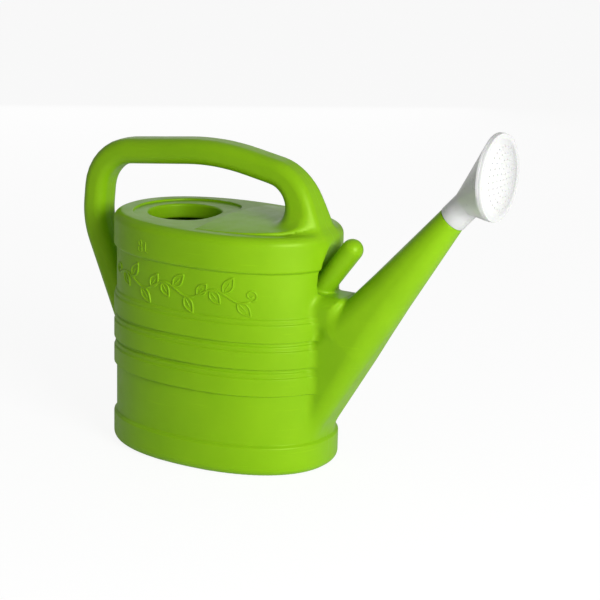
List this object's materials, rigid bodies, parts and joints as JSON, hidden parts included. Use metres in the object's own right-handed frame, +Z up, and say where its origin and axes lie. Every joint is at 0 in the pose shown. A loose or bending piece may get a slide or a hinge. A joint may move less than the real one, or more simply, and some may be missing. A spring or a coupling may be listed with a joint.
{
  "type": "watering can",
  "caption": "Oval plastic watering can with a loop handle, long tapered spout and a pull-off sprinkling rose.",
  "frame": {"origin": "centre of the can's base, on the ground it stands on", "axes": "+X from the handle to the spout, +Y across the can, +Z up"},
  "size_m": [0.492, 0.174, 0.371],
  "materials": {
    "can_plastic": "satin",
    "rose_plastic": "gloss"
  },
  "bodies": {
    "can": {"base": "can_plastic", "tank_wall": "can_plastic", "deck": "can_plastic", "handle": "can_plastic", "spout": "can_plastic", "rose_peg": "can_plastic"},
    "rose": {"rose_shell": "rose_plastic"},
    "rose_screen": {"rose_face": "rose_plastic"}
  },
  "joints": [
    {"name": "rose_pull", "type": "slide", "parent": "can", "child": "rose", "axis": [0.6845, 0, 0.729], "range_m": [0, 0.04]},
    {"name": "face_unclip", "type": "slide", "parent": "rose", "child": "rose_screen", "axis": [1, 0, 0], "range_m": [0, 0.025]}
  ]
}
